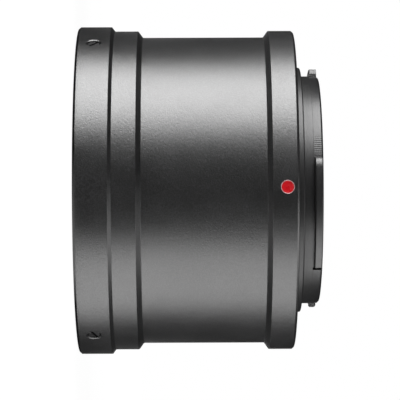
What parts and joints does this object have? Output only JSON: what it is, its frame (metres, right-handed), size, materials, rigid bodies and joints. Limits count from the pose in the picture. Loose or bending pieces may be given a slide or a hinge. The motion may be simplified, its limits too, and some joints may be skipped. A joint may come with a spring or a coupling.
{
  "type": "t-mount adapter",
  "caption": "Turned tube adapter with a clamped, rotatable female T2 thread ring at one end and a lugged mirrorless camera bayonet at the other.",
  "frame": {"origin": "on the optical axis, in the plane of the front (T2) face that the part stands on", "axes": "+Z along the optical axis from the T2 end to the bayonet; -Y towards the red index dot; +X makes the frame right-handed"},
  "size_m": [0.0532, 0.0532, 0.0387],
  "materials": {
    "housing_black": "fine-blasted satin black anodised",
    "ring_black": "satin black anodised, threaded bore",
    "bayonet_black": "smooth turned semi-gloss black anodised",
    "index_red": "glossy red enamel bead",
    "screw_steel": "blackened steel"
  },
  "bodies": {
    "housing": {"barrel": "housing_black", "bayonet_mount": "bayonet_black", "index_dot": "index_red", "bayonet_screw_1": "screw_steel", "bayonet_screw_2": "screw_steel", "bayonet_screw_3": "screw_steel", "bayonet_screw_4": "screw_steel"},
    "t2_ring": {"t2_ring": "ring_black"},
    "set_screw_1": {"set_screw_1": "screw_steel"},
    "set_screw_2": {"set_screw_2": "screw_steel"},
    "set_screw_3": {"set_screw_3": "screw_steel"}
  },
  "joints": [
    {"name": "t2_ring_turn", "type": "hinge", "parent": "housing", "child": "t2_ring", "pos_m": [0, 0, 0.0032], "axis": [0, 0, 1], "continuous": true},
    {"name": "set_screw_1_travel", "type": "slide", "parent": "housing", "child": "set_screw_1", "axis": [0, 1, 0], "range_m": [0, 0.0012]},
    {"name": "set_screw_2_travel", "type": "slide", "parent": "housing", "child": "set_screw_2", "axis": [-0.866, -0.5, 0], "range_m": [0, 0.0012]},
    {"name": "set_screw_3_travel", "type": "slide", "parent": "housing", "child": "set_screw_3", "axis": [0.866, -0.5, 0], "range_m": [0, 0.0012]}
  ]
}
